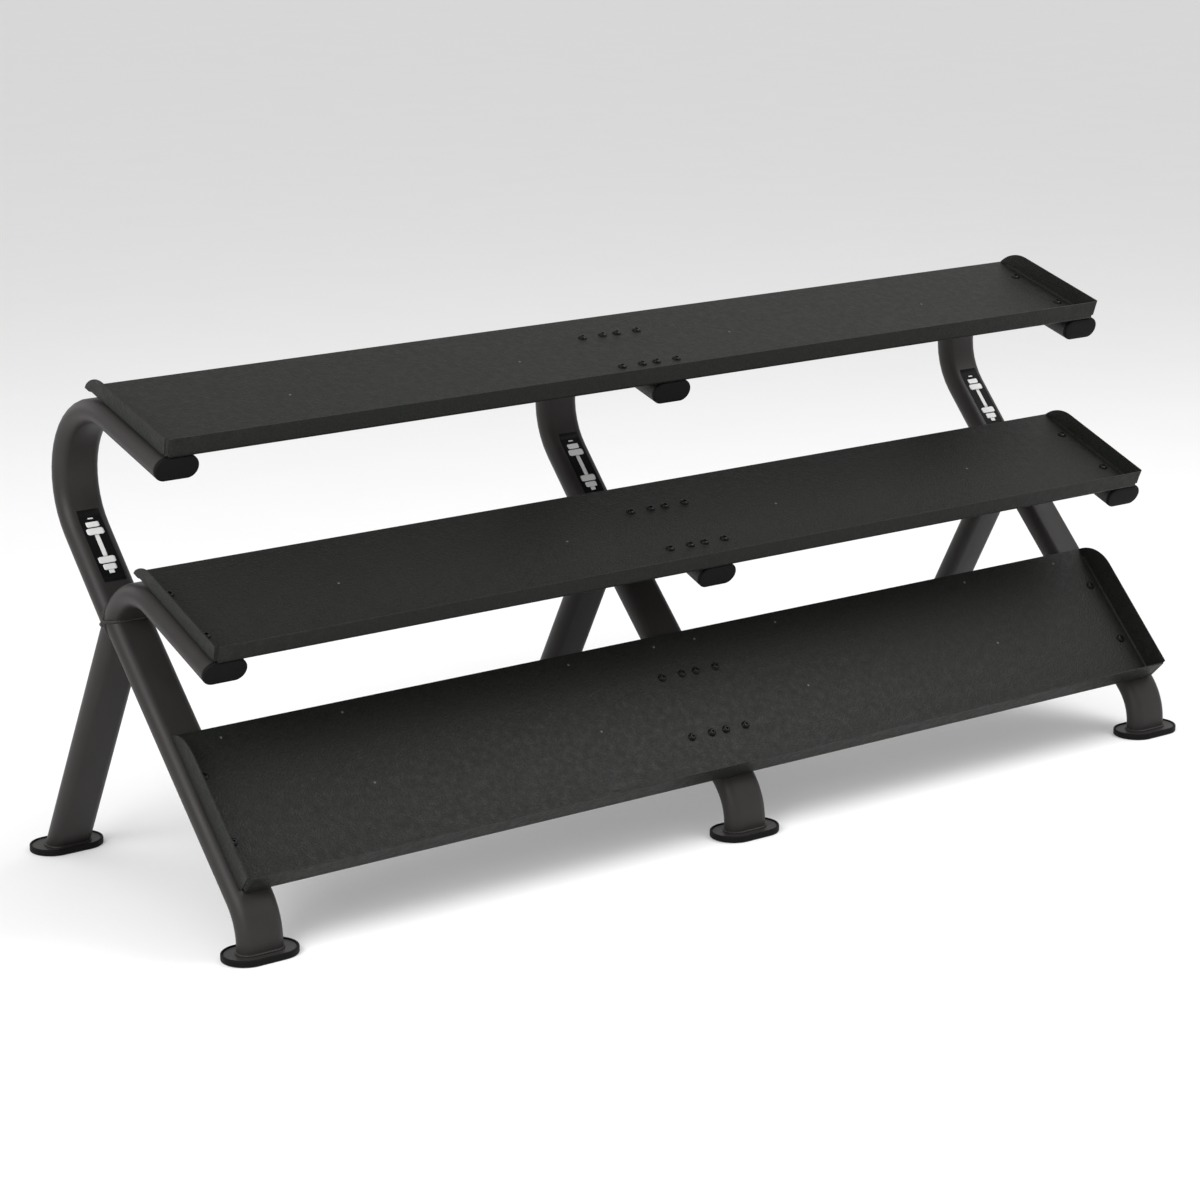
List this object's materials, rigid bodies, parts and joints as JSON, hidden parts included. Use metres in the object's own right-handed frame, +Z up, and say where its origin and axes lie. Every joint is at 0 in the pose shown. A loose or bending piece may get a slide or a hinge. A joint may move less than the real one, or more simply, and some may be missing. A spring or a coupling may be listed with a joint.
{
  "type": "dumbbell rack",
  "caption": "Free-standing dumbbell rack: sloping folded-steel trays with raised lips, bolted to bent flat-oval tube frames on rubber-booted feet.",
  "frame": {"origin": "on the floor, at the middle of the rack's footprint", "axes": "+X along the trays to the right end, +Y from the front lips to the back, +Z up"},
  "size_m": [2.541, 0.901, 1.0514],
  "materials": {
    "frame_steel": "satin dark grey powder coat",
    "tray_steel": "fine-textured dark grey powder coat",
    "plate_steel": "satin dark grey powder coat",
    "boot_rubber": "matt black",
    "bolt_black": "black oxide"
  },
  "bodies": {
    "root": {"left_rear_leg": "frame_steel", "left_front_leg": "frame_steel", "left_upper_arm": "frame_steel", "left_front_foot_boot": "boot_rubber", "left_front_foot_plate": "plate_steel", "left_rear_foot_boot": "boot_rubber", "left_rear_foot_plate": "plate_steel", "left_top_end_cap": "boot_rubber", "left_middle_end_cap": "boot_rubber", "centre_rear_leg": "frame_steel", "centre_front_leg": "frame_steel", "centre_upper_arm": "frame_steel", "centre_front_foot_boot": "boot_rubber", "centre_front_foot_plate": "plate_steel", "centre_rear_foot_boot": "boot_rubber", "centre_rear_foot_plate": "plate_steel", "centre_top_end_cap": "boot_rubber", "centre_middle_end_cap": "boot_rubber", "right_rear_leg": "frame_steel", "right_front_leg": "frame_steel", "right_upper_arm": "frame_steel", "right_front_foot_boot": "boot_rubber", "right_front_foot_plate": "plate_steel", "right_rear_foot_boot": "boot_rubber", "right_rear_foot_plate": "plate_steel", "right_top_end_cap": "boot_rubber", "right_middle_end_cap": "boot_rubber", "top_tray": "tray_steel", "top_left_front_bolt": "bolt_black", "top_left_rear_bolt": "bolt_black", "top_right_front_bolt": "bolt_black", "top_right_rear_bolt": "bolt_black", "top_centre_left_front_bolt": "bolt_black", "top_centre_left_rear_bolt": "bolt_black", "top_centre_right_front_bolt": "bolt_black", "top_centre_right_rear_bolt": "bolt_black", "top_left_mounting_wing": "frame_steel", "top_right_mounting_wing": "frame_steel", "middle_tray": "tray_steel", "middle_left_front_bolt": "bolt_black", "middle_left_rear_bolt": "bolt_black", "middle_right_front_bolt": "bolt_black", "middle_right_rear_bolt": "bolt_black", "middle_centre_left_front_bolt": "bolt_black", "middle_centre_left_rear_bolt": "bolt_black", "middle_centre_right_front_bolt": "bolt_black", "middle_centre_right_rear_bolt": "bolt_black", "middle_left_mounting_wing": "frame_steel", "middle_right_mounting_wing": "frame_steel", "lower_tray": "tray_steel", "lower_left_front_bolt": "bolt_black", "lower_left_rear_bolt": "bolt_black", "lower_right_front_bolt": "bolt_black", "lower_right_rear_bolt": "bolt_black", "lower_centre_left_front_bolt": "bolt_black", "lower_centre_left_rear_bolt": "bolt_black", "lower_centre_right_front_bolt": "bolt_black", "lower_centre_right_rear_bolt": "bolt_black", "lower_left_mounting_wing": "frame_steel", "lower_right_mounting_wing": "frame_steel"}
  },
  "joints": []
}
